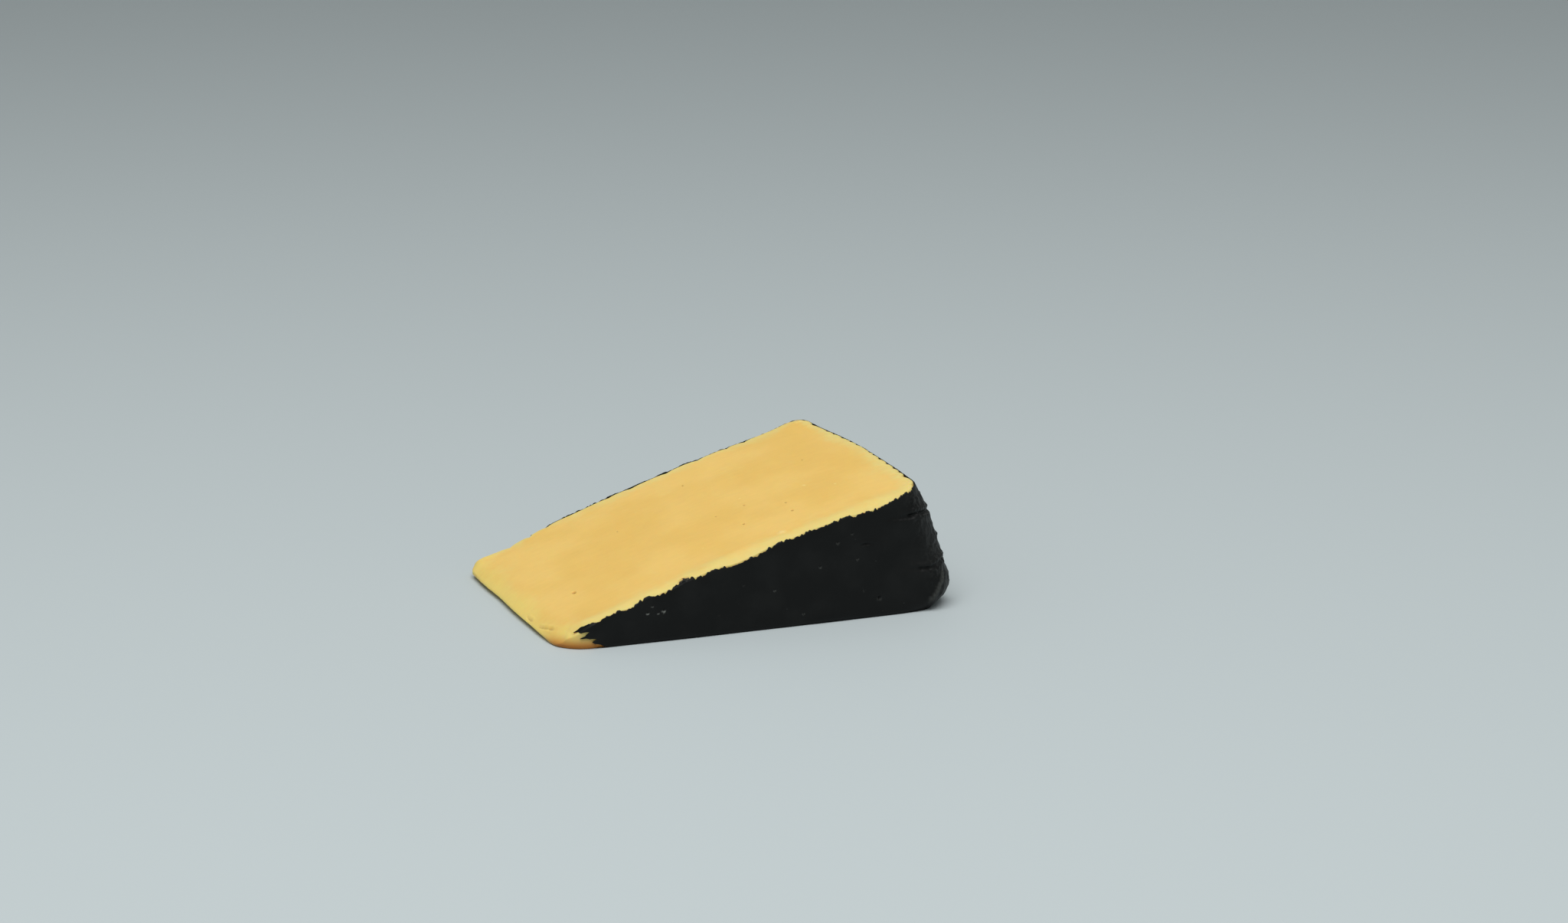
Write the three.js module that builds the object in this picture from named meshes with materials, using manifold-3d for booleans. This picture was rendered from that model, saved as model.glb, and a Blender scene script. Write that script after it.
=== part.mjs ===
// A wedge of firm yellow cheese, cut from a round wheel that was coated in black wax.
// It lies on one of its two cut faces.
//
// Millimetres. X runs from the thin tip, near the wheel's axis, to the waxed rim.
// Y runs along the wheel's axis, from one waxed flat face to the other. Z is up.
// The tip's lower edge starts out at X = 0, and the group is centred at the end.

import * as THREE from 'three';
import { mergeVertices } from 'three/addons/utils/BufferGeometryUtils.js';
import Module from 'manifold-3d';

// The whole wheel.
const wheelRadius = 111;
const heightAtAxis = 78.6;
const heightAtRim = 85.3;
const shoulderRadius = 7;
const rimBulge = 1.8;

// The wax coat and the bare end where it has come away.
const waxThickness = 1.2;
const waxGap = 0.3;
const bareTipLength = 9;

// The two cuts. The lower one misses the wheel's axis, and so does the tip.
const axisSetBack = 4;
const axisDrop = 13.7;
const tipThickness = 3;
const rindThickness = 34.6;
const topBow = 2.2;

// The tip's corners, worn round.
const nearTipRadius = 11;
const farTipRadius = 4;

// How finely curves are cut into flats.
const wheelSegments = 160;
const curveDivisions = 10;

// Cutting solids run past the wheel by this much, so that no two faces coincide.
const overrun = 20;

const rimReach = axisSetBack + wheelRadius + overrun;

const wasm = await Module();
wasm.setup();

// A closed three.js geometry as a manifold solid.
function solidOf(geometry) {
  geometry.deleteAttribute('normal');
  geometry.deleteAttribute('uv');
  const merged = mergeVertices(geometry, 1e-4);
  return new wasm.Manifold(new wasm.Mesh({
    numProp: 3,
    vertProperties: Float32Array.from(merged.attributes.position.array),
    triVerts: Uint32Array.from(merged.index.array),
  }));
}

// A manifold solid as a three.js geometry.
function geometryOf(solid) {
  const { vertProperties, triVerts } = solid.getMesh();
  const geometry = new THREE.BufferGeometry();
  geometry.setAttribute('position', new THREE.BufferAttribute(vertProperties, 3));
  geometry.setIndex(new THREE.BufferAttribute(triVerts, 1));
  geometry.computeVertexNormals();
  return geometry;
}

// The wheel, with every surface moved inwards by an inset. Its section runs out along
// the near flat face, round the rim and back along the far face, which rises outwards.
function wheel(inset) {
  const shoulder = shoulderRadius - inset;
  const rim = wheelRadius - rimBulge - inset;
  const far = heightAtRim - inset;
  const section = new THREE.Path();
  section.moveTo(0, inset);
  section.lineTo(rim - shoulder, inset);
  section.absarc(rim - shoulder, inset + shoulder, shoulder, -Math.PI / 2, 0);
  section.quadraticCurveTo(rim + 2 * rimBulge, heightAtRim / 2, rim, far - shoulder);
  section.absarc(rim - shoulder, far - shoulder, shoulder, 0, Math.PI / 2);
  section.lineTo(0, heightAtAxis - inset);
  const turned = new THREE.LatheGeometry(section.getPoints(curveDivisions), wheelSegments);
  return solidOf(turned.translate(axisSetBack, 0, -axisDrop));
}

// How far along X the rim stands at a height above the lower cut.
function rimAt(height) {
  return axisSetBack + Math.sqrt(wheelRadius ** 2 - (axisDrop + height) ** 2);
}

// Everything between the two cuts: flat below and gently bowed above.
function cutWedge() {
  const topLength = rimAt(rindThickness);
  const midHeight = (tipThickness + rindThickness) / 2;
  const bowed = new THREE.QuadraticBezierCurve(
    new THREE.Vector2(0, tipThickness),
    new THREE.Vector2(topLength / 2, midHeight + 2 * topBow),
    new THREE.Vector2(topLength, rindThickness),
  );
  const endSlope = bowed.getTangent(1);
  const beyond = (rimReach - topLength) * endSlope.y / endSlope.x;
  const outline = new THREE.Shape();
  outline.moveTo(0, 0);
  outline.lineTo(rimReach, 0);
  outline.lineTo(rimReach, rindThickness + beyond);
  outline.lineTo(topLength, rindThickness);
  outline.quadraticCurveTo(bowed.v1.x, bowed.v1.y, 0, tipThickness);
  outline.closePath();
  const depth = heightAtRim + 2 * overrun;
  const slab = new THREE.ExtrudeGeometry(outline, {
    depth,
    curveSegments: 2 * curveDivisions,
    bevelEnabled: false,
  });
  return solidOf(slab.rotateX(Math.PI / 2).translate(0, depth - overrun, 0));
}

// The plan view of the tip, with its two corners rounded.
function roundedTip() {
  const faceRise = (heightAtRim - heightAtAxis) / wheelRadius;
  const farFace = heightAtAxis + faceRise * axisDrop;
  const plan = new THREE.Shape();
  plan.moveTo(nearTipRadius, 0);
  plan.lineTo(rimReach, 0);
  plan.lineTo(rimReach, farFace + faceRise * rimReach);
  plan.lineTo(farTipRadius, farFace);
  plan.absarc(farTipRadius, farFace - farTipRadius, farTipRadius, Math.PI / 2, Math.PI);
  plan.lineTo(0, nearTipRadius);
  plan.absarc(nearTipRadius, nearTipRadius, nearTipRadius, Math.PI, Math.PI * 1.5);
  const above = rindThickness + topBow + overrun;
  const slab = new THREE.ExtrudeGeometry(plan, {
    depth: above + overrun,
    curveSegments: curveDivisions,
    bevelEnabled: false,
  });
  return solidOf(slab.translate(0, 0, -overrun));
}

// All that lies further from the tip than a given length.
function beyondTip(start) {
  const block = new THREE.BoxGeometry(rimReach - start, heightAtRim + 2 * overrun, 4 * rindThickness);
  return solidOf(block.translate((rimReach + start) / 2, heightAtRim / 2, 0));
}

// The wedge as cut, wax and all.
const wedge = wheel(0).intersect(cutWedge()).intersect(roundedTip());

// The wax covers the near flat face, the rim and the far flat face in one skin.
// Both cut faces and the tip are bare.
const waxSolid = wedge
  .intersect(beyondTip(bareTipLength))
  .subtract(wheel(waxThickness));

// The cheese fills the rest, with a hair's gap behind the wax and before its two ends.
const waxSpace = beyondTip(bareTipLength - waxGap).subtract(wheel(waxThickness + waxGap));
const cheeseSolid = wedge.subtract(waxSpace);

const cheese = new THREE.Mesh(
  geometryOf(cheeseSolid),
  new THREE.MeshStandardMaterial({ color: 0xe6c070, roughness: 0.5, metalness: 0 }),
);
cheese.name = 'cheese_body';

const wax = new THREE.Mesh(
  geometryOf(waxSolid),
  new THREE.MeshStandardMaterial({ color: 0x1a1b1b, roughness: 0.45, metalness: 0 }),
);
wax.name = 'wax_coat';

const part = new THREE.Group();
part.add(cheese, wax);

// The origin is the middle of the space the wedge takes up, on the surface it lies on.
const middle = new THREE.Box3().setFromObject(part).getCenter(new THREE.Vector3());
part.position.set(-middle.x, -middle.y, 0);
part.updateMatrixWorld(true);

export default part;
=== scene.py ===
from math import cos, exp, hypot, pi, sin, sqrt

import bmesh
import bpy
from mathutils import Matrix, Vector, noise
from mathutils.geometry import intersect_point_line


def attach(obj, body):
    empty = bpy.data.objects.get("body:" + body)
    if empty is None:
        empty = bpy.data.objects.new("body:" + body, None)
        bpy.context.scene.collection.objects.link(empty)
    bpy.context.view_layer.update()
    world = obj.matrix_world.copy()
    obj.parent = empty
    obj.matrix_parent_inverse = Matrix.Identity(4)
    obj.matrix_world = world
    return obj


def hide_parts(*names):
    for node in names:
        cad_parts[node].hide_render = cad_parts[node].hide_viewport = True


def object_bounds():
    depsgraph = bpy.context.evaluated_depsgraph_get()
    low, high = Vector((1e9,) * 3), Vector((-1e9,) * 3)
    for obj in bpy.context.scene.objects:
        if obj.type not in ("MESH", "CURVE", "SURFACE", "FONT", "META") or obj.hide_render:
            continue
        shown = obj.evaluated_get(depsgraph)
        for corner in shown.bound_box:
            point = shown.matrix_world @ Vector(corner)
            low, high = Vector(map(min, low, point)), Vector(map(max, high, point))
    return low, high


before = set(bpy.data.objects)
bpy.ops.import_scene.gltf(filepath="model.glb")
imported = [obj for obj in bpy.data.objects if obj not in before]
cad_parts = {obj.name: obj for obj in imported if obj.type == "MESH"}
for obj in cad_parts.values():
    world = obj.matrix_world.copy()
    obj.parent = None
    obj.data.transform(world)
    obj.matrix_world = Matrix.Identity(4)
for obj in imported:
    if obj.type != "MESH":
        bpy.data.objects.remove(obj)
cadLow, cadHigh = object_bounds()
scene = bpy.context.scene

# Shapes are worked out in millimetres: x from the tip, y from the near side, z up from the
# face that the wedge lies on. newPiece then puts them in the frame, in metres.
mm = 0.001
wedge = {
    "length": (cadHigh.x - cadLow.x) / mm,
    "width": (cadHigh.y - cadLow.y) / mm,
    "height": (cadHigh.z - cadLow.z) / mm,
    "tipThickness": 3.0,
    "topBow": 2.2,
    "faceTaper": 6.7,               # how much lower the wheel is at its axis than at its rim
    "axisSetBack": 4.0,             # the wheel's axis, from the tip
    "axisDrop": 13.7,               # and below the lower cut
    "rimBulge": 1.8,                # how far the rim falls back by the far side
    "nearBulge": 0.1,               # the share of it that is left by the near side
    "rimBelly": 1.3,                # how far the middle of the rim stands out
    "bulgeFrom": 0.5,               # the share of the length where these begin
    "nearTipRadius": 11.0,
    "farTipRadius": 4.5,
    "nearRindRadius": 9.0,
    "farRindRadius": 6.5,
    # how far the upper cut falls away at its edges, and over what width
    "fall": {"near": 0.62, "far": 0.45, "rind": 0.50, "tip": 1.6},
    "fallWidth": {"near": 3.0, "far": 1.6, "rind": 1.8, "tip": 3.6},
    "wideFall": (0.6, 2.2),         # more fall than this widens it, so much for each millimetre
    # where the near side falls more or less, as (x, more, half width)
    "dips": ((15.5, -1.3, 2.2), (21.8, 0.5, 2.0), (24.3, -0.9, 1.6), (32.5, 0.4, 2.5),
             (52.5, 1.2, 6.5), (67.0, 0.25, 2.5), (88.5, 0.9, 6.0), (98.0, -0.5, 3.0)),
    "dipRipple": (6, 0.2),          # size and depth
    "fallLimits": (0.25, 2.0),
    "nearTipFall": (1.5, 2.5),      # more fall and more width at the tip's near corner
    "nearTipReach": (4, 20),        # where it begins and ends, from the corner
    "nearTipFade": (6.0, 13.0),     # and where it has to end, in x
    "farTipFall": (0.95, 2.4),      # the tip's fall and its width at the far corner
    "farTipReach": (2, 20),
    # how far the foot is drawn in and how high up; the tip's goes from its first value to its
    # second between two distances from the near side
    "footInset": {"near": 0.45, "far": 0.5, "rind": 1.0, "tip": (0.7, 4.0, 3.0, 24.0)},
    "footRise": {"near": 1.0, "far": 1.0, "rind": 2.5, "tip": 1.3},
    "footSoftness": 6.0,            # how gently one side's foot turns into the next
    "footCurve": 1.5,
    # corners drawn in further, as (place, more inset, more height, reach)
    "cornerFeet": (((113, 3), 3.6, 4.5, 9.0),),
}


def clamp(value, low=0.0, high=1.0):
    return max(low, min(high, value))


def mix(a, b, share):
    return a + (b - a) * share


def ramp(low, high, value):  # 0 below low, 1 above high, smooth between
    t = clamp((value - low) / (high - low))
    return t * t * (3 - 2 * t)


def hump(value, middle, halfWidth):
    return exp(-((value - middle) / halfWidth) ** 2)


def ripple(x, y, z, size, seed):  # smooth noise from about -1 to 1, in lumps of about this size
    return noise.noise(Vector((x / size + 31.7 * seed, y / size - 12.3 * seed, z / size)))


def layered(x, y, z, layers, seed):  # several ripples, each given as (size, depth)
    return sum(depth * ripple(x, y, z, size, seed + i) for i, (size, depth) in enumerate(layers))


def notches(along, spacing, seed):  # 0 on round lobes, up to 1 in the sharp notches between them
    unevenSpacing, least, more = 0.9, 0.55, 0.45
    turn = along / spacing + unevenSpacing * ripple(along, 0, 0, 1.6 * spacing, seed)
    deep = least + more * ripple(along, 5, 0, 1.3 * spacing, seed + 50)
    return deep * (1 - abs(sin(pi * turn))) ** 2


# The wheel that the wedge was cut from.
wheelRadius = hypot(wedge["length"] - wedge["axisSetBack"], wedge["axisDrop"])


def rimAt(z):
    return wedge["axisSetBack"] + sqrt(wheelRadius ** 2 - (wedge["axisDrop"] + z) ** 2)


topLength = rimAt(wedge["height"])


def farAt(x, z):
    reach = hypot(x - wedge["axisSetBack"], z + wedge["axisDrop"]) / wheelRadius
    return wedge["width"] - wedge["faceTaper"] * (1 - reach)


def topAt(x):
    t = x / topLength
    straight = mix(wedge["tipThickness"], wedge["height"], t)
    return straight + 4 * wedge["topBow"] * t * (1 - t)


def bulgeAt(x, y, z):  # how far the rim falls back, towards both flat faces
    off = clamp(2 * y / wedge["width"] - 1, -1, 1)
    share = wedge["nearBulge"] if off < 0 else 1
    back = wedge["rimBulge"] * share * off ** 2 - wedge["rimBelly"] * (1 - off ** 2)
    return back * ramp(wedge["bulgeFrom"], 1.0, x / rimAt(z))


def cornerRadius(atTip, atNear):
    return wedge[("near" if atNear else "far") + ("Tip" if atTip else "Rind") + "Radius"]


def sides(x, y, z):  # distances to the four sides before the corners are rounded
    return {"near": y, "far": farAt(x, z) - y, "rind": rimAt(z) - x, "tip": x}


def bySide(values, gaps, softness=1.5):  # a value for each side, blended by nearness
    weights = {side: 1 / (max(gap, 0.0) + softness) ** 3 for side, gap in gaps.items()}
    return sum(weights[side] * values[side] for side in gaps) / sum(weights.values())


def nearFall(x):  # how far the upper cut has fallen at its near edge
    dips = sum(more * hump(x, middle, half) for middle, more, half in wedge["dips"])
    size, depth = wedge["dipRipple"]
    fall = wedge["fall"]["near"] + dips + depth * ripple(x, 0, 0, size, 24)
    return clamp(fall, *wedge["fallLimits"])


def fallAt(x, gaps):  # how far the upper cut has fallen at its edge, and over what width
    more, wider = wedge["nearTipFall"]
    corner = 1 - ramp(*wedge["nearTipReach"], gaps["tip"] + gaps["near"])
    corner *= 1 - ramp(*wedge["nearTipFade"], x)
    farFall, farWidth = wedge["farTipFall"]
    toFar = 1 - ramp(*wedge["farTipReach"], gaps["far"])
    tipFall = mix(wedge["fall"]["tip"], farFall, toFar)
    tipWidth = mix(wedge["fallWidth"]["tip"], farWidth, toFar)
    fall = bySide({**wedge["fall"], "near": nearFall(x), "tip": tipFall}, gaps)
    width = bySide({**wedge["fallWidth"], "tip": tipWidth}, gaps)
    least, widening = wedge["wideFall"]
    width += widening * max(fall - least, 0)
    return fall + more * corner, width + wider * corner


def footAt(x, y, z, gaps):  # how far the wall is drawn in, down at the foot
    least, most, low, high = wedge["footInset"]["tip"]
    insets = {**wedge["footInset"], "tip": mix(least, most, ramp(low, high, y))}
    inset = bySide(insets, gaps, wedge["footSoftness"])
    rise = bySide(wedge["footRise"], gaps, wedge["footSoftness"])
    for (cornerX, cornerY), more, higher, reach in wedge["cornerFeet"]:
        corner = exp(-(hypot(x - cornerX, y - cornerY) / reach) ** 2)
        inset += more * corner
        rise += higher * corner
    return inset * (1 - clamp(z / rise)) ** wedge["footCurve"]


def newPiece(name, bm, material):
    bmesh.ops.scale(bm, verts=bm.verts, vec=(mm, mm, mm))
    bmesh.ops.translate(bm, verts=bm.verts, vec=(cadLow.x, cadLow.y, cadLow.z))
    mesh = bpy.data.meshes.new(name)
    bm.to_mesh(mesh)
    bm.free()
    mesh.shade_smooth()
    mesh.materials.append(material)
    piece = bpy.data.objects.new(name, mesh)
    scene.collection.objects.link(piece)
    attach(piece, "root")
    return piece


def refine(bm, spots, cuts):  # finer faces round each (place, radius)
    chosen = set()
    for face in bm.faces:
        middle = face.calc_center_median()
        if any((middle - place).length < radius for place, radius in spots):
            chosen.update(face.edges)
    bmesh.ops.subdivide_edges(bm, edges=list(chosen), cuts=cuts, use_grid_fill=True)


def roundMarks(marks):  # the spots to refine for marks given as (place, radius, ...)
    margin = 1.2
    return [(place, margin + 2 * radius) for place, radius, *_ in marks]


dentReach = 3                       # radii past which a dent no longer shows


def dent(away, depth):  # a round-bottomed hole with a faint lip, away being in radii
    steep, lip, lipAt, lipWidth = 1.4, 0.16, 1.35, 0.3
    return -depth * exp(-away ** 4 * steep) + lip * depth * hump(away, lipAt, lipWidth)


def groove(away, depth, half):  # a line pressed in, with a soft lip on both sides
    lip = 0.6
    return depth * (lip * hump(away, 3 * half, 1.5 * half) - hump(away, 0, half))


def besidePath(point, path):  # how far a point is from a path and above it, and a fade at its ends
    endFade = 2.0
    best, above = 1e9, 0.0
    for a, b in zip(path, path[1:]):
        foot, share = intersect_point_line(point, a, b)
        foot = a.lerp(b, clamp(share))
        away = (point - foot).length
        if away < best:
            best, above = away, point.z - foot.z
    ends = min((point - path[0]).length, (point - path[-1]).length)
    return best, above, ramp(0.0, endFade, ends)


class Socket:  # a node's output that can be used in sums
    def __init__(self, material, link):
        self.material, self.link = material, link

    def maths(self, operation, *values):
        return self.material.add("ShaderNodeMath", {"operation": operation}, *values)

    def __add__(self, other):
        return self.maths("ADD", self, other)

    __radd__ = __add__

    def __sub__(self, other):
        return self.maths("SUBTRACT", self, other)

    def __rsub__(self, other):
        return self.maths("SUBTRACT", other, self)

    def __mul__(self, other):
        return self.maths("MULTIPLY", self, other)

    __rmul__ = __mul__

    def __pow__(self, other):
        return self.maths("POWER", self, other)

    def above(self, low, high):  # 0 below low and 1 above high
        settings = {"interpolation_type": "SMOOTHSTEP"}
        return self.material.add("ShaderNodeMapRange", settings, self, low, high, 0.0, 1.0)


class Material:
    def __init__(self, name):
        self.made = bpy.data.materials.new(name)
        self.made.use_nodes = True
        self.nodes = self.made.node_tree.nodes
        self.shader = self.nodes["Principled BSDF"]
        self.place = self.add("ShaderNodeTexCoord", {}, output="Object")

    def add(self, kind, settings, *inputs, output=0, **named):
        node = self.nodes.new(kind)
        for key, value in settings.items():
            setattr(node, key, value)
        for key, value in [*enumerate(inputs), *named.items()]:
            self.join(value, node.inputs[key if isinstance(key, int) else key.replace("_", " ")])
        return Socket(self, node.outputs[output])

    def join(self, value, socket):
        if isinstance(value, Socket):
            self.made.node_tree.links.new(value.link, socket)
        elif value is not None:
            socket.default_value = value

    def noise(self, size, detail=2.0, rough=0.5, stretch=(1, 1, 1)):
        place = self.add("ShaderNodeMapping", {}, self.place, Scale=stretch)
        return self.add("ShaderNodeTexNoise", {}, Vector=place, Scale=1 / size, Detail=detail,
                        Roughness=rough)

    def specks(self, spacing, low, high):  # 1 in small dots, 0 between them
        away = self.add("ShaderNodeTexVoronoi", {}, Vector=self.place, Scale=1 / spacing,
                        output="Distance")
        return 1 - away.above(low, high)

    def attribute(self, name):
        return self.add("ShaderNodeAttribute", {"attribute_name": name}, output="Fac")

    def blend(self, share, a, b, how="MIX"):
        settings = {"data_type": "RGBA", "blend_type": how}
        # inputs 6 and 7 and output 2 are this node's colours
        node = self.add("ShaderNodeMix", settings, share, output=2)
        self.join(a, node.link.node.inputs[6])
        self.join(b, node.link.node.inputs[7])
        return node

    def bump(self, height, distance):
        return self.add("ShaderNodeBump", {}, Distance=distance, Height=height)

    def set(self, **values):
        for name, value in values.items():
            self.join(value, self.shader.inputs[name.replace("_", " ")])
        return self.made


def rgb(red, green, blue):
    return (red, green, blue, 1.0)


cheese = {
    "cuts": (206, 172, 12),         # along, across, up
    "crowding": 0.42,               # how much closer the faces lie at the edges
    "swell": ((34.0, 0.30), (11.0, 0.12)),
    # low rises, as (x, y, height, reach along, reach across)
    "lifts": ((7, 0, 0.6, 8, 9), (4, 81, 0.7, 4.5, 6), (101, 83, 1.1, 6, 9),
              (105, 45, 0.4, 9, 22)),
    "streaks": ((22, 1.7, 0.014), (14, 0.9, 0.010)),    # stretch, size, depth
    # how far the cut stands up along its edges
    "lip": {"near": 0.08, "far": 0.10, "rind": 0.12, "tip": 0.04},
    "lipAt": 1.6,
    "lipLeast": 0.8,
    "lipRipples": ((8, 0.9),),
    "lipWidth": 3.0,
    "lipWidthRipples": ((7, 0.55), (2.5, 0.2)),
    # spacing and depth of the notches in each edge
    "notches": {"near": (4.3, 0.35), "far": (9.8, 1.9), "rind": (5.4, 1.5)},
    "nearWave": ((14.0, 0.25), (3.0, 0.12)),
    "farWave": ((22.0, 0.45), (4.0, 0.08)),
    "rindWave": ((16.0, 0.30), (2.4, 0.10)),
    "tipWave": ((14.0, 0.35), (4.0, 0.10)),
    # how far the bare part of the far side is drawn in, and where that grows and fades in x
    "farSetBack": (1.5, (1, 6), (14, 27)),
    # how deep into the cheese the wax, the edges' wander and the foot still move it
    "reach": {"wax": 5, "wander": 6, "foot": 7},
    # share of the length, share of the width, radius, depth
    "pits": ((0.13, 0.32, 0.52, 0.7), (0.57, 0.81, 0.30, 0.3), (0.63, 0.42, 0.27, 0.3),
             (0.58, 0.26, 0.33, 0.4), (0.71, 0.30, 0.28, 0.3), (0.70, 0.21, 0.38, 0.4),
             (0.55, 0.42, 0.20, 0.25), (0.34, 0.66, 0.20, 0.25), (0.86, 0.62, 0.22, 0.25)),
    "marksWithin": 3,               # pits and crumbs lie this close to the upper cut
    "pitStretch": 1.8,              # how much longer pits are across the wedge
    "pitEdge": (0.5, 1.15),         # where a pit's colour fades, in radii
    # share of the length, share of the width, radius, rise
    "crumbs": ((0.79, 0.39, 0.55, 0.16), (0.85, 0.30, 0.4, 0.12), (0.64, 0.49, 0.35, 0.10),
               (0.625, 0.06, 1.3, 0.22), (0.45, 0.20, 0.3, 0.08)),
    "crumbRipple": (0.5, 0.5),      # size and depth
    "crumbEdge": (0.2, 1.3),        # where a crumb's colour fades, in radii
    "smearAt": (35.6, 0.2, 2.6, 3.0),   # x, y, half its length and half its width
    # creases round the tip's near corner, as (points in plan, depth, half its width)
    "creases": ((((1.4, 28.6), (1.0, 26.6), (1.2, 22.6)), 0.22, 0.20),
                (((1.0, 18.6), (1.5, 16.2), (2.3, 12.6), (3.0, 9.6)), 0.28, 0.22)),
    "creasesWithin": (9, 36),       # they end before this x and y
    "creaseMargin": 2.6,            # how far round their points the faces are finer
    "creaseRipple": (1.3, 0.25),    # size and depth
    "creaseShade": 0.45,            # how dark the painted shade in them is, beside a pit's
    # the bands of colour: from the cut's edges inwards, from the tip, and the painted shade up from
    # the foot
    "rimBand": (4.4, (13, 2.2)),    # its width, and the ripple in it
    "tipBand": (2.0, 9.0),
    "footBand": ((0.4, 3.6), (4, 15)),  # where it fades upwards and away from the near side
}

cheeseFinish = {
    "paste": rgb(0.735, 0.465, 0.112),
    "palePaste": rgb(0.775, 0.510, 0.140),
    "rim": rgb(0.690, 0.578, 0.200),
    "tip": rgb(0.775, 0.600, 0.160),
    "ring": rgb(0.735, 0.445, 0.098),
    # painted shade: the dark orange of the thin lower edge, which lies in shade
    "foot": rgb(0.46, 0.165, 0.020),
    # painted shade: the brown in the pits' and creases' hollows; it is also the wax stain's brown
    "pit": rgb(0.27, 0.125, 0.03),
    "crumb": rgb(0.84, 0.66, 0.28),
    "smear": rgb(0.010, 0.008, 0.005),
    # how strongly each colour covers what is under it
    "cover": {"ring": 0.15, "pale": 0.75, "specks": 0.25, "crumb": 0.5, "pit": 0.85, "stain": 0.45},
    "patches": 24 * mm,
    "mottle": 2.2 * mm,
    "streaks": 1.3 * mm,
    "streakStretch": (0.05, 1, 1),
    "bandPatches": (8 * mm, 3 * mm),
    "speckSpacing": 5.5 * mm,
    "smearCrumbs": 0.9 * mm,
    "grains": 0.45 * mm,
    "glossPatches": 6 * mm,
    "shade": (0.96, 0.05, 0.02),    # the least, and what mottling and streaks add
    "warmth": 1.3,                  # how much more the blue darkens
    "roughness": (0.46, 0.60),
    "bump": (0.6, 0.2, 0.45),       # mottling, streaks and grains
    "bumpHeight": 0.03 * mm,
}

cover = {  # the wax's thickness, which grows from its free edges
    "full": 1.2,
    "edge": 0.28,
    "fadeUp": 6.0,                  # how far down from the upper edge it is full
    "start": (7.0, 21.0),           # where it begins on the near side and on the far side
    "between": (20, 60),            # where it goes from the one to the other, in y
    "skin": 0.8,                    # how far down from the edge it starts to thicken
    "fadeAlong": 14.0,              # and how far past its start
    "wanderFade": (0.5, 5),         # how far down the edges' wander still shows
}


def coverAt(x, y, depth):
    start = mix(*cover["start"], ramp(*cover["between"], y))
    full = ramp(cover["skin"], cover["fadeUp"], depth)
    full *= ramp(start, start + cover["fadeAlong"], x)
    return mix(cover["edge"], cover["full"], full)


def roundedPlan(x, y, z):  # moves a point of the square plan into the rounded one
    gaps = sides(x, y, z)
    atTip, atNear = gaps["tip"] < gaps["rind"], gaps["near"] < gaps["far"]
    along, across = min(gaps["tip"], gaps["rind"]), min(gaps["near"], gaps["far"])
    radius = cornerRadius(atTip, atNear)
    inX, inY = (1 if atTip else -1), (1 if atNear else -1)
    if along < radius and across < radius:
        reachX, reachY = radius - along, radius - across
        shrink = max(reachX, reachY) / max(hypot(reachX, reachY), 1e-9)
        newAlong, newAcross = radius - reachX * shrink, radius - reachY * shrink
        x += inX * (newAlong - along)
        y += inY * (newAcross - across)
        inward = Vector((inX * reachX, inY * reachY)).normalized()
    elif along < across:
        inward = Vector((inX, 0))
    else:
        inward = Vector((0, inY))
    return x - bulgeAt(x, y, z), y, min(along, across), gaps, inward


def wander(x, y, gaps, ofCheese):  # how far an edge strays inwards
    wave = {
        "near": layered(x, 0, 0, cheese["nearWave"], 1),
        "far": layered(x, 9, 0, cheese["farWave"], 3),
        "rind": layered(50, y, 0, cheese["rindWave"], 5),
        "tip": layered(0, y, 0, cheese["tipWave"], 7),
    }
    if ofCheese:
        for seed, (side, (spacing, depth)) in enumerate(cheese["notches"].items()):
            wave[side] += depth * notches(y if side == "rind" else x, spacing, 9 + seed)
        setBack, grows, fades = cheese["farSetBack"]
        wave["far"] += setBack * (1 - ramp(*fades, x)) * ramp(*grows, x)
    return bySide(wave, gaps)


def cutFaceAt(x, y, inside, gaps):  # the height of the upper cut face
    rise = bySide(cheese["lip"], gaps)
    rise *= cheese["lipLeast"] + layered(x, y, 0, cheese["lipRipples"], 13)
    width = cheese["lipWidth"] * (1 + layered(x, y, 0, cheese["lipWidthRipples"], 14))
    lip = rise * exp(-(max(inside - cheese["lipAt"], 0) / width) ** 2)
    streak = sum(depth * ripple(x / stretch, y, 0, size, 16 + i)
                 for i, (stretch, size, depth) in enumerate(cheese["streaks"]))
    lift = sum(high * exp(-((x - middleX) / reachX) ** 2 - ((y - middleY) / reachY) ** 2)
               for middleX, middleY, high, reachX, reachY in cheese["lifts"])
    return topAt(x) + lip + layered(x, y, 0, cheese["swell"], 18) + streak + lift


def cheesePoint(a, b, c):  # shares of the length, the width and the height, from 0 to 1
    crowd = cheese["crowding"] / (2 * pi)
    a -= crowd * sin(2 * pi * a)
    b -= crowd * sin(2 * pi * b)
    z = c * topAt(a * rimAt(0))
    for _ in range(3):  # the height and the place depend on each other
        x = a * rimAt(z)
        z = c * topAt(x)
    y = b * farAt(x, z)
    x, y, inside, gaps, inward = roundedPlan(x, y, z)
    fall, width = fallAt(x, gaps)
    top = cutFaceAt(x, y, inside, gaps)
    if c >= 1:
        z = top - fall * (1 - clamp(inside / width)) ** 2
    else:
        z = (top - fall) * c
    depth = top - z
    share = {kind: 1 - ramp(0, reach, inside) for kind, reach in cheese["reach"].items()}
    stray = coverAt(x, y, depth) * share["wax"]
    stray += wander(x, y, gaps, True) * share["wander"] * (1 - ramp(*cover["wanderFade"], depth))
    stray += footAt(x, y, z, gaps) * share["foot"]
    return Vector((x + inward.x * stray, y + inward.y * stray, z)), inside


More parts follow.
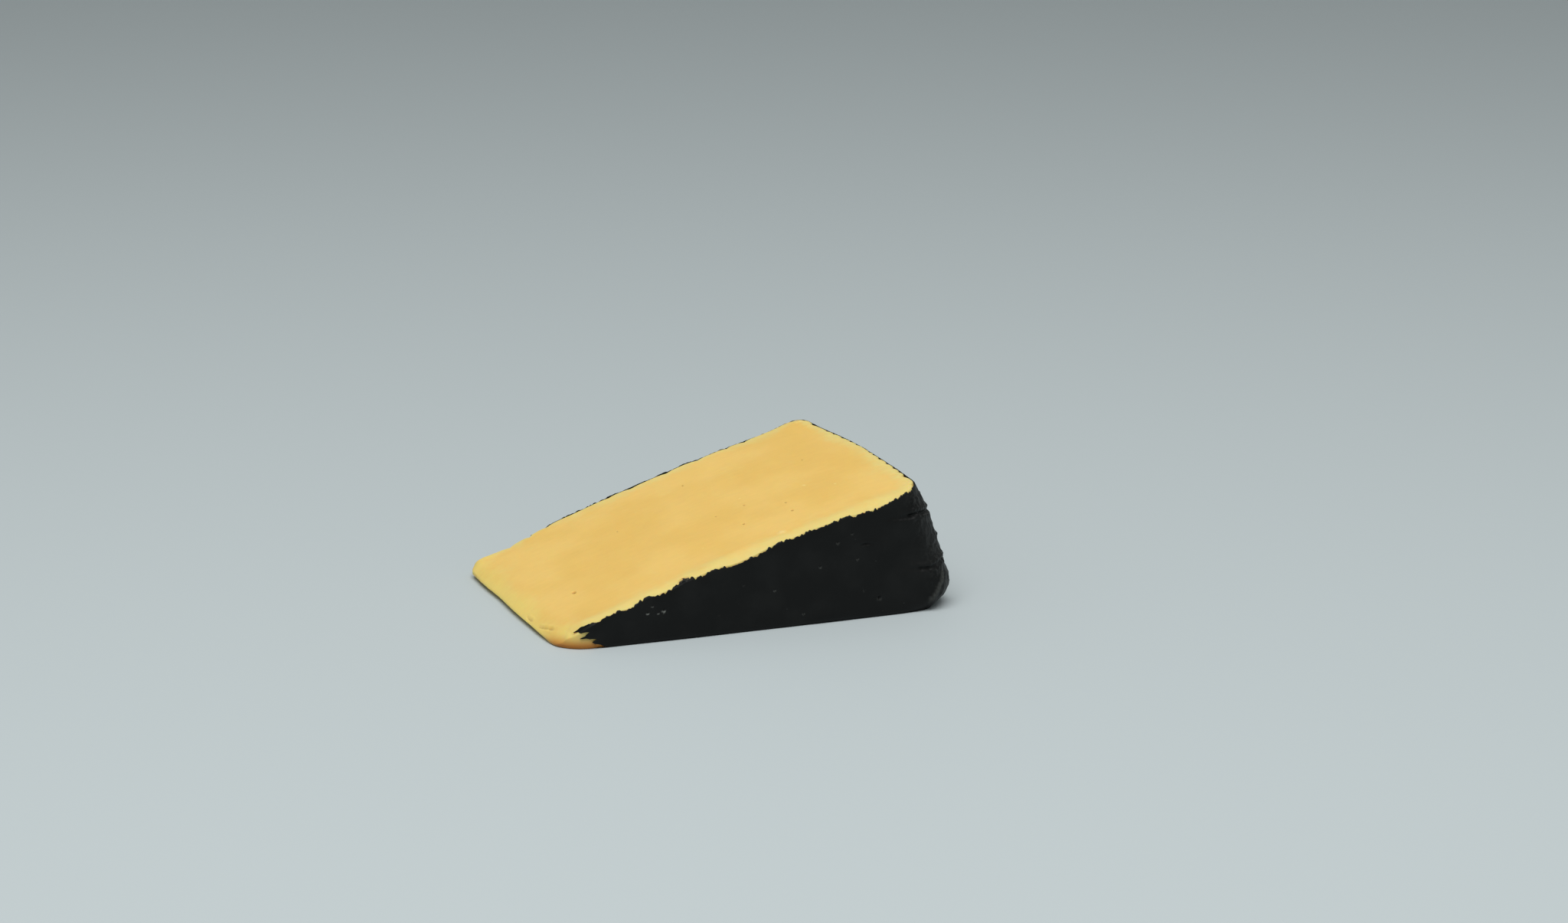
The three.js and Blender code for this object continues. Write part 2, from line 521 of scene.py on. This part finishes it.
def makeCheese():
    bm = bmesh.new()
    bmesh.ops.create_cube(bm, size=1)
    bmesh.ops.translate(bm, verts=bm.verts, vec=(0.5, 0.5, 0.5))
    for axis, cuts in enumerate(cheese["cuts"]):
        along = [e for e in bm.edges if abs(e.verts[0].co[axis] - e.verts[1].co[axis]) > 0.5]
        bmesh.ops.subdivide_edges(bm, edges=along, cuts=cuts, use_grid_fill=True)
    rim, tip, foot, pit, crumb, smear = (
        bm.verts.layers.float.new(name)
        for name in ("rim", "tip", "foot", "pit", "crumb", "smear"))
    smearX, smearY, halfLength, halfWidth = cheese["smearAt"]
    bandWidth, (bandSize, bandDepth) = cheese["rimBand"]
    footUp, footAcross = cheese["footBand"]
    for vert in bm.verts:
        vert.co, inside = cheesePoint(*vert.co)
        x, y, z = vert.co
        band = bandWidth + bandDepth * ripple(x, y, 0, bandSize, 20)
        vert[rim] = exp(-(inside / band) ** 2)
        vert[tip] = 1 - ramp(*cheese["tipBand"], x)
        vert[foot] = (1 - ramp(*footUp, z)) * (1 - ramp(*footAcross, y))
        away = hypot((x - smearX) / halfLength, (y - smearY) / halfWidth)
        vert[smear] = 1 - ramp(0.0, 1.0, away) if z > topAt(x) / 2 else 0.0

    creases = [([Vector((x, y, 0)) for x, y in path], *sizes) for path, *sizes in cheese["creases"]]
    ends = [Vector((point.x, point.y, topAt(point.x))) for path, *_ in creases for point in path]
    refine(bm, [(point, cheese["creaseMargin"]) for point in ends], cuts=1)
    lastX, lastY = cheese["creasesWithin"]
    for vert in bm.verts:
        x, y, z = vert.co
        if x > lastX or y > lastY or z < topAt(x) / 2:
            continue
        for path, depth, half in creases:
            away, _, fade = besidePath(Vector((x, y, 0)), path)
            size, stray = cheese["creaseRipple"]
            away += stray * ripple(x, y, 0, size, 25)
            vert.co.z += fade * groove(away, depth, half)
            # painted shade along the crease
            shade = cheese["creaseShade"] * fade * hump(away, 0, 0.8 * half)
            vert[pit] = max(vert[pit], shade)

    marks = {"pits": [], "crumbs": []}
    for kind, found in marks.items():
        for alongShare, acrossShare, *sizes in cheese[kind]:
            x = alongShare * topLength
            found.append((Vector((x, acrossShare * farAt(x, 0), topAt(x))), *sizes))
    refine(bm, roundMarks(marks["pits"] + marks["crumbs"]), cuts=3)
    for vert in bm.verts:
        if vert.co.z < topAt(vert.co.x) - cheese["marksWithin"]:
            continue
        for place, radius, depth in marks["pits"]:
            across = (vert.co.y - place.y) / cheese["pitStretch"]
            away = hypot(vert.co.x - place.x, across) / radius
            if away < dentReach:
                vert.co.z += dent(away, depth)
                # painted shade in the pit
                vert[pit] = max(vert[pit], 1 - ramp(*cheese["pitEdge"], away))
        for place, radius, rise in marks["crumbs"]:
            away = hypot(vert.co.x - place.x, vert.co.y - place.y) / radius
            size, uneven = cheese["crumbRipple"]
            away *= 1 + uneven * ripple(*vert.co, size, 23)
            vert.co.z += rise * exp(-2 * away ** 2)
            vert[crumb] = max(vert[crumb], 1 - ramp(*cheese["crumbEdge"], away))
    print("cheese:", len(bm.faces), "faces")
    return bm


def cheeseMaterial():
    m = Material("yellowCheese")
    finish, strength = cheeseFinish, cheeseFinish["cover"]
    patches = m.noise(finish["patches"], 3)
    mottle = m.noise(finish["mottle"], 4, 0.6)
    streaks = m.noise(finish["streaks"], 3, stretch=finish["streakStretch"])
    colour = m.blend(patches.above(0.35, 0.65), finish["paste"], finish["palePaste"])

    # the paler band along the cut's edges, with patches that break its inner border
    rim = m.attribute("rim")
    broad, small = finish["bandPatches"]
    uneven = m.noise(broad, 4, 0.6) + 0.8 * m.noise(small, 3, 0.6) - 0.9
    pale = (rim + uneven).above(0.02, 1.05)
    ring = rim.above(0.02, 0.25) * (1 - pale)
    colour = m.blend(ring * strength["ring"], colour, finish["ring"])
    edge = m.blend(m.attribute("tip"), finish["rim"], finish["tip"])
    colour = m.blend(pale * strength["pale"], colour, edge)

    least, byMottle, byStreaks = finish["shade"]
    shade = least + byMottle * mottle + byStreaks * streaks.above(0.3, 0.7)
    tone = m.add("ShaderNodeCombineColor", {}, shade, shade, shade ** finish["warmth"])
    colour = m.blend(1.0, colour, tone, "MULTIPLY")
    specks = m.specks(finish["speckSpacing"], 0.02, 0.05)
    colour = m.blend(specks * strength["specks"], colour, finish["crumb"])
    # painted shade: the foot darkened to orange
    colour = m.blend(m.attribute("foot"), colour, finish["foot"])
    colour = m.blend(m.attribute("crumb") * strength["crumb"], colour, finish["crumb"])
    # painted shade in the pits and creases
    colour = m.blend(m.attribute("pit") * strength["pit"], colour, finish["pit"])

    # a smear of wax: a brown stain with black crumbs in it
    smear = m.attribute("smear")
    colour = m.blend(smear.above(0.05, 0.6) * strength["stain"], colour, finish["pit"])
    crumbs = m.noise(finish["smearCrumbs"], 3, 0.6)
    crumbled = (smear + 1.6 * (crumbs - 0.5)).above(0.50, 0.60)
    colour = m.blend(crumbled * smear.above(0.0, 0.2), colour, finish["smear"])

    low, high = finish["roughness"]
    ofMottle, ofStreaks, ofGrains = finish["bump"]
    height = mottle * ofMottle + streaks * ofStreaks + m.noise(finish["grains"], 2) * ofGrains
    return m.set(
        Base_Color=colour,
        Roughness=low + (high - low) * m.noise(finish["glossPatches"], 3),
        Normal=m.bump(height, finish["bumpHeight"]),
        IOR=1.42,
        Specular_IOR_Level=0.45,
        Subsurface_Weight=0.35,
        Subsurface_Radius=(1.0, 0.42, 0.14),
        Subsurface_Scale=3.2 * mm,
    )


wax = {
    # the stretches of the coat, from the near side round the rim, and the columns in each
    "stretches": (("near", 400), ("nearShoulder", 60), ("rind", 150), ("farShoulder", 30),
                  ("far", 180)),
    "rows": 48,
    "upwards": 1.25,                # rows lie closer together towards the top
    # where the coat begins on the near side, as (share of its height, x): three torn fingers
    "start": ((0.0, 14.2), (0.12, 12.6), (0.22, 10.6), (0.28, 10.0), (0.36, 11.4), (0.47, 9.0),
              (0.54, 6.9), (0.62, 8.2), (0.73, 9.2), (0.84, 6.4), (0.92, 5.2), (1.0, 6.6)),
    "startRipple": (0.06, 0.3),     # size, in shares of the height, and depth
    "nearStart": 9.0,               # its average
    "startPower": 6,                # a power: only the first columns follow the fingers
    "farStart": 19.0,
    "farStartRipple": (0.12, 1.0),  # the same for the far side
    # how far the free edge lies under the cut face, past the near side's fall
    "edge": {"near": 0.08, "far": 0.42, "rind": 0.36},
    "leastEdge": {"near": 0.04, "far": 0.05, "rind": 0.05},
    "farEdgeByTip": (0.16, 55, 75),     # the far side's, up to the first x and from the second
    "farEdgeSunk": (1.0, 19, 30),   # and how far it is sunk where it begins and ends
    "evenEdge": 0.8,                # the depth that most rows are laid out for
    "raggedRows": 6,                # a power: only the top rows follow the ragged edge
    # by the tip and past it, how far the edge follows the cheese inwards, and where that changes
    "foldOver": (0.7, 0.25),
    "foldOverFade": (8, 18),
    "ragged": ((5.0, 0.35), (1.3, 0.50), (0.65, 0.65)),
    "raggedShare": {"near": 0.75, "far": 0.5, "rind": 0.30},    # how much of it each side has
    "torn": (2.3, 0.4, 0.10),       # size, offset and depth of sharp teeth
    "step": (9.0, 0.4, 0.10),       # spacing, rise and steepness of steps in the edge
    # how much more or less ragged than elsewhere, as (x, half width, more)
    "tatters": ((36.0, 6.0, 0.7), (50.0, 6.0, -0.5), (92.0, 6.0, 0.6), (11.0, 7.0, -0.3)),
    "tongue": (35.9, 1.4, 0.4),     # x, half width and height of a bit that stands up
    "heave": ((22.0, 0.28), (7.0, 0.10)),
    "rindBumps": ((4.5, 0.34), (1.9, 0.28), (0.9, 0.22)),
    # where the relief fades: down from the edge, from the tip and up from the foot
    "reliefFade": ((0.3, 4.0), (8, 18), (0.0, 1.5)),
    # swellings as (place, half sizes, rise)
    "swellings": (((49, 0, 4), (26, 5, 40), 0.45), ((111, 5, 7), (7, 8, 6), 1.05),
                  ((110, 4, 18), (6, 7, 7), 0.2)),
    # x, share of the height there, radius, depth, how strong the painted glint on its rim is
    "pits": ((25.3, 0.67, 0.30, 0.25, 1.0), (26.6, 0.78, 0.22, 0.20, 0.6),
             (29.7, 0.62, 0.38, 0.25, 1.0), (28.2, 0.60, 0.22, 0.20, 0.7),
             (60.9, 0.45, 0.26, 0.25, 0.6), (69.0, 0.13, 0.26, 0.20, 0.5),
             (73.8, 0.58, 0.28, 0.25, 0.3), (78.8, 0.77, 0.34, 0.30, 0.3),
             (82.9, 0.81, 0.26, 0.25, 0.2), (84.5, 0.56, 0.28, 0.25, 0.4),
             (86.6, 0.26, 0.24, 0.20, 0.3), (91.0, 0.17, 0.46, 0.45, 0.15),
             (45.0, 0.30, 0.22, 0.15, 0.1), (52.0, 0.62, 0.22, 0.15, 0.2)),
    "pitRipple": (0.4, 0.4),        # size and depth
    "glintAt": (1.2, 0.5),          # where a pit's painted glint lies: distance from its middle and half width, in radii
    # folds as (points, groove's depth, its half width, lip above it, step out below it)
    "folds": (
        (((98.5, 0, 26.6), (102.5, 0.6, 27.4), (106.0, 4, 26.6), (107.4, 10, 26.0),
          (107.6, 18, 27.0)), 0.85, 0.55, 0.35, 0.6),
        (((101.5, 0, 12.2), (105.5, 0.6, 12.0), (109.8, 4, 13.0), (111.4, 11, 12.6)),
         0.9, 0.45, 0.4, 0.3),
        (((84.6, 0, 20.3), (86.6, 0, 20.6), (89.2, 0, 20.4)), 0.45, 0.3, 0.2, 0.1),
        (((109.0, 3, 17.6), (110.4, 9, 18.6)), 0.4, 0.4, 0.25, 0.0),
    ),
    "foldsWithin": (80, 25),        # they lie past this x and before this y
    "foldReach": (3, 7),            # where their steps begin and end to fade
    "foldMargin": 2.0,              # how far round them the faces are finer
    # a sharp ridge down the near corner of the rim, as (points, height, half width)
    "ridge": (((109.7, 2.7, 11.4), (109.0, 1.7, 8.4), (107.7, 0.7, 5.6), (106.5, 0.2, 3.8),
               (104.6, 0.0, 2.4)), 0.7, 0.5),
    "ridgeWithin": (100, 12),
    # how bright the painted highlight down the ridge is
    "ridgeGlint": 0.35,
    # the crinkled finish of the rim: full up to the first distance from it, and gone by the
    # second on the near side and by the third on the far side
    "rindBand": (3, 12, 28),
    "rindBandTurn": (20, 70),       # between these y
}

waxFinish = {
    "colour": rgb(0.0028, 0.0032, 0.0030),
    "worn": rgb(0.0060, 0.0065, 0.0062),
    # light grey for dust specks, and also for the painted sheen on the rim
    "dustAndSheen": rgb(0.060, 0.062, 0.058),
    # painted highlight: the light grey of the glints on the pits' rims and down the ridge
    "glintColour": rgb(0.13, 0.135, 0.125),
    "cloud": 9 * mm,
    "peel": 1.6 * mm,
    "grains": 0.5 * mm,
    "crinkle": 0.9 * mm,
    "speckSpacing": 4.2 * mm,
    "specks": 0.6,                  # how strongly the specks and the rim's dust and painted sheen show
    "rindDustAndSheen": 0.42,
    "rindDustAndSheenPower": 2.5,           # how closely the dust and painted sheen keep to the rim
    "roughness": (0.36, 0.54),
    "grainRoughness": 0.06,
    "bump": (0.35, 0.8, 1.8, 0.2),  # peel, more of it on the rim, crinkles there, and grains
    "bumpHeight": 0.05 * mm,
}


def waxStart(v):  # where the coat begins on the near side, at this share of its height
    size, depth = wax["startRipple"]
    for (v0, x0), (v1, x1) in zip(wax["start"], wax["start"][1:]):
        if v <= v1:
            return mix(x0, x1, ramp(v0, v1, v)) + depth * ripple(0, 0, v, size, 21)
    return wax["start"][-1][1]


def wallAt(stretch, t, v, z):  # a place on the wheel's outside, and the way out of it
    rim = rimAt(z)
    if stretch == "near":
        x = mix(wax["nearStart"], rim - cornerRadius(False, True), t)
        x += (waxStart(v) - wax["nearStart"]) * (1 - t) ** wax["startPower"]
        radius = wedge["nearTipRadius"]
        back = max(0.0, radius - x)
        across = sqrt(radius ** 2 - back ** 2)
        y, out = radius - across, Vector((-back, -across)).normalized()
    elif stretch == "far":
        size, depth = wax["farStartRipple"]
        end = wax["farStart"] + depth * ripple(0, 0, v, size, 22)
        x = mix(rim - cornerRadius(False, False), end, t)
        y, out = farAt(x, z), Vector((0, 1))
    elif stretch == "rind":
        y = mix(cornerRadius(False, True), farAt(rim, z) - cornerRadius(False, False), t)
        x, out = rim, Vector((1, 0))
    else:
        atNear = stretch == "nearShoulder"
        radius = cornerRadius(False, atNear)
        turn = pi / 2 * (t if atNear else 1 - t)
        x = rim - radius * (1 - sin(turn))
        drop = radius * (1 - cos(turn))
        y = drop if atNear else farAt(x, z) - drop
        out = Vector((sin(turn), -cos(turn) if atNear else cos(turn)))
    return x - bulgeAt(x, y, z), y, out


def edgeDepth(x, y, gaps):  # how far below the cut face the wax ends
    along = x + y
    share = wax["raggedShare"]
    tatters = sum(more * hump(x, middle, half) for middle, half, more in wax["tatters"])
    rough = (share["near"] + tatters) * layered(along, 0, 0, wax["ragged"], 30)
    size, offset, depth = wax["torn"]
    rough += depth * (offset - abs(ripple(along, 3, 0, size, 34)) * 2)
    spacing, rise, steep = wax["step"]
    turn = along / spacing + 0.5 * ripple(along, 0, 0, 2 * spacing, 36)
    rough += rise * (0.5 - turn % 1) * ramp(0.0, steep, turn % 1)
    byTip, low, high = wax["farEdgeByTip"]
    far = mix(byTip, wax["edge"]["far"], ramp(low, high, x)) + share["far"] * rough
    sunk, low, high = wax["farEdgeSunk"]
    tongueX, half, tall = wax["tongue"]
    least = wax["leastEdge"]
    near = nearFall(x) + wax["edge"]["near"] + rough - tall * hump(x, tongueX, half)
    near = max(least["near"], near)
    depths = {
        "near": near,
        "far": max(least["far"], far + sunk * (1 - ramp(low, high, x))),
        "rind": max(least["rind"], wax["edge"]["rind"] + share["rind"] * rough),
        "tip": near,
    }
    return bySide(depths, gaps, softness=0.6)


def waxPoint(column, v):  # a place on the coat, from its column and its share of the height
    for stretch, count in wax["stretches"]:
        if column <= count:
            break
        column -= count
    t = column / count
    v = 1 - (1 - v) ** wax["upwards"]
    z = v * topAt(t * topLength)
    for _ in range(4):  # the height and the place depend on each other
        x, y, out = wallAt(stretch, t, v, z)
        gaps = sides(x, y, z)
        top = cutFaceAt(x, y, 0, gaps)
        ragged = edgeDepth(x, y, gaps) - wax["evenEdge"]
        z = v * (top - wax["evenEdge"]) - v ** wax["raggedRows"] * ragged
    depth = top - z
    fall, width = fallAt(x, gaps)
    most = mix(*wax["foldOver"], ramp(*wax["foldOverFade"], x))
    inward = min(width * (1 - sqrt(clamp(depth / fall))), most) + footAt(x, y, z, gaps)
    inward += wander(x, y, gaps, False) * (1 - ramp(*cover["wanderFade"], depth))
    return Vector((x - out.x * inward, y - out.y * inward, z))


folds = [([Vector(p) for p in path], *sizes) for path, *sizes in wax["folds"]]
ridge = ([Vector(p) for p in wax["ridge"][0]], *wax["ridge"][1:])


def waxRelief(point, onRind, depth):  # how far the wax stands out or in
    down, along, up = wax["reliefFade"]
    rise = layered(*point, wax["heave"], 40) + onRind * layered(*point, wax["rindBumps"], 44)
    rise *= ramp(*down, depth) * ramp(*along, point.x) * ramp(*up, point.z)
    for place, sizes, swell in wax["swellings"]:
        away = sum(((point[i] - place[i]) / sizes[i]) ** 2 for i in range(3))
        rise += swell * exp(-away) * ramp(-2.0, 2.0, point.z) * ramp(0.0, 3.0, depth)
    firstX, lastY = wax["foldsWithin"]
    if point.x < firstX or point.y > lastY:
        return rise
    near, far = wax["foldReach"]
    for path, deep, half, lip, step in folds:
        away, above, fade = besidePath(point, path)
        if away < far:
            rise -= deep * fade * hump(away, 0, half)
            beside = fade * (1 - ramp(3 * half, 6 * half, away))
            rise += lip * beside * hump(above, 2.4 * half, 1.5 * half)
            # below the fold the wax steps out, and comes back in over a few millimetres
            below = (1 - ramp(-0.7, 0.2, above)) * exp(above / 4)
            rise += step * (1 - ramp(near, far, away)) * below
    path, height, half = ridge
    away, _, fade = besidePath(point, path)
    return rise + height * fade * hump(away, 0, half)


def makeWax():
    columns = sum(count for _, count in wax["stretches"])
    bm = bmesh.new()
    bmesh.ops.create_grid(bm, x_segments=columns, y_segments=wax["rows"], size=0.5)
    rind, glint = (bm.verts.layers.float.new(name) for name in ("rind", "glint"))
    thickness = bm.verts.layers.deform.verify()    # the weights that the shell's thickness follows
    for vert in bm.verts:
        vert.co = waxPoint(round((vert.co.x + 0.5) * columns), vert.co.y + 0.5)
    pits = [(Vector((x, 0, share * topAt(x))), *sizes) for x, share, *sizes in wax["pits"]]
    spots = roundMarks(pits)
    for path, *_ in folds:
        for a, b in zip(path, path[1:]):
            spots += [(a.lerp(b, quarter / 4), wax["foldMargin"]) for quarter in range(5)]
    refine(bm, spots, cuts=1)
    bm.normal_update()
    full, nearGone, farGone = wax["rindBand"]
    size, uneven = wax["pitRipple"]
    firstX, lastY = wax["ridgeWithin"]
    ridgePath, _, ridgeHalf = ridge
    rises = []
    for vert in bm.verts:
        x, y, z = vert.co
        depth = topAt(x) - z
        gone = mix(nearGone, farGone, ramp(*wax["rindBandTurn"], y))
        vert[rind] = 1 - ramp(full, gone, rimAt(z) - x)
        rise = waxRelief(vert.co, vert[rind], depth)
        for place, radius, deep, glintStrength in pits:
            away = (vert.co - place).length / radius
            away *= 1 + uneven * ripple(*vert.co, size, 48)
            if away < dentReach:
                rise += dent(away, deep)
                # painted highlight: a glint on the lower rim of each pit, where it catches the
                # light
                below = ramp(-0.4, 1.0, (place.z - z) / radius)
                vert[glint] = max(vert[glint], glintStrength * hump(away, *wax["glintAt"]) * below)
        # painted highlight down the ridge at the rim's near corner
        if x > firstX and y < lastY:
            away, _, fade = besidePath(vert.co, ridgePath)
            shine = wax["ridgeGlint"] * fade * hump(away, 0.2, 0.6 * ridgeHalf)
            vert[glint] = max(vert[glint], shine)
        rises.append(vert.normal * rise)
        vert[thickness][0] = coverAt(x, y, depth) / cover["full"]
    for vert, rise in zip(bm.verts, rises):
        vert.co += rise
    print("wax:", len(bm.faces), "faces")
    return bm


def waxMaterial():
    m = Material("blackWax")
    finish = waxFinish
    cloud = m.noise(finish["cloud"], 4)
    peel = m.noise(finish["peel"], 3, 0.55)
    grains = m.noise(finish["grains"], 2)
    crinkle = m.noise(finish["crinkle"], 4, 0.65)
    rind = m.attribute("rind")
    colour = m.blend(cloud.above(0.4, 0.7), finish["colour"], finish["worn"])
    specks = m.specks(finish["speckSpacing"], 0.015, 0.04)
    colour = m.blend(specks * finish["specks"], colour, finish["dustAndSheen"])
    # painted highlights: the glints on the pits' rims and down the ridge
    colour = m.blend(m.attribute("glint"), colour, finish["glintColour"])
    # painted sheen, partly real dust: the rim's crinkles are lightened as if catching the light at
    # a grazing angle
    rindDustAndSheenMask = rind ** finish["rindDustAndSheenPower"] * crinkle.above(0.46, 0.74)
    colour = m.blend(rindDustAndSheenMask * finish["rindDustAndSheen"], colour, finish["dustAndSheen"])
    low, high = finish["roughness"]
    ofPeel, onRind, ofCrinkle, ofGrains = finish["bump"]
    height = peel * (ofPeel + onRind * rind) + crinkle * rind * ofCrinkle + grains * ofGrains
    return m.set(
        Base_Color=colour,
        Roughness=low + (high - low) * cloud + finish["grainRoughness"] * grains,
        Normal=m.bump(height, finish["bumpHeight"]),
        IOR=1.44,
        Specular_IOR_Level=0.22,
    )


cheesePiece = newPiece("cheeseWedge", makeCheese(), cheeseMaterial())
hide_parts("cheese_body")

waxPiece = newPiece("waxCoat", makeWax(), waxMaterial())
waxPiece.vertex_groups.new(name="thickness")
shell = waxPiece.modifiers.new("thickness", "SOLIDIFY")
shell.thickness = cover["full"] * mm
shell.offset = -1
shell.vertex_group = "thickness"
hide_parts("wax_coat")

floor = {
    "size": 4.0,
    "below": 0.05 * mm,             # keeps the floor off the underside
    "colour": rgb(0.466, 0.516, 0.526),
    "roughness": 0.62,
}


def makeFloor():
    bm = bmesh.new()
    bmesh.ops.create_grid(bm, x_segments=1, y_segments=1, size=floor["size"])
    bmesh.ops.translate(bm, verts=bm.verts, vec=(0, 0, -floor["below"]))
    mesh = bpy.data.meshes.new("floor")
    bm.to_mesh(mesh)
    bm.free()
    m = Material("paleFloor")
    mesh.materials.append(m.set(Base_Color=floor["colour"], Roughness=floor["roughness"],
                                Specular_IOR_Level=0.25))
    ground = bpy.data.objects.new("floor", mesh)
    scene.collection.objects.link(ground)


lights = {
    "place": (-0.22, -0.50, 1.36),
    "size": (1.3, 1.0),
    "power": 21.3,
    "world": 0.34,
    "worldColour": rgb(0.95, 1.0, 1.0),
}


def makeLights():
    data = bpy.data.lights.new("overhead", "AREA")
    data.shape = "RECTANGLE"
    data.size, data.size_y = lights["size"]
    data.energy = lights["power"]
    lamp = bpy.data.objects.new("overhead", data)
    lamp.location = lights["place"]
    lamp.rotation_euler = (-lamp.location).to_track_quat("-Z", "Y").to_euler()
    scene.collection.objects.link(lamp)
    world = bpy.data.worlds.new("studio")
    world.use_nodes = True
    background = world.node_tree.nodes["Background"]
    background.inputs["Color"].default_value = lights["worldColour"]
    background.inputs["Strength"].default_value = lights["world"]
    scene.world = world


eye = {
    "place": (-337.6, -918.3, 284.6),   # millimetres from the middle of the wedge's foot
    "looks": (0.35444, 0.90204, -0.24634),
    "lens": 85,
    "sensor": 36,
}


def makeCamera():
    data = bpy.data.cameras.new("camera")
    data.lens, data.sensor_width = eye["lens"], eye["sensor"]
    camera = bpy.data.objects.new("camera", data)
    camera.location = Vector(eye["place"]) * mm
    camera.rotation_euler = Vector(eye["looks"]).to_track_quat("-Z", "Y").to_euler()
    scene.collection.objects.link(camera)
    scene.camera = camera


makeFloor()
makeLights()
makeCamera()
scene.view_settings.view_transform = "Standard"
print("floor, light and camera: made")
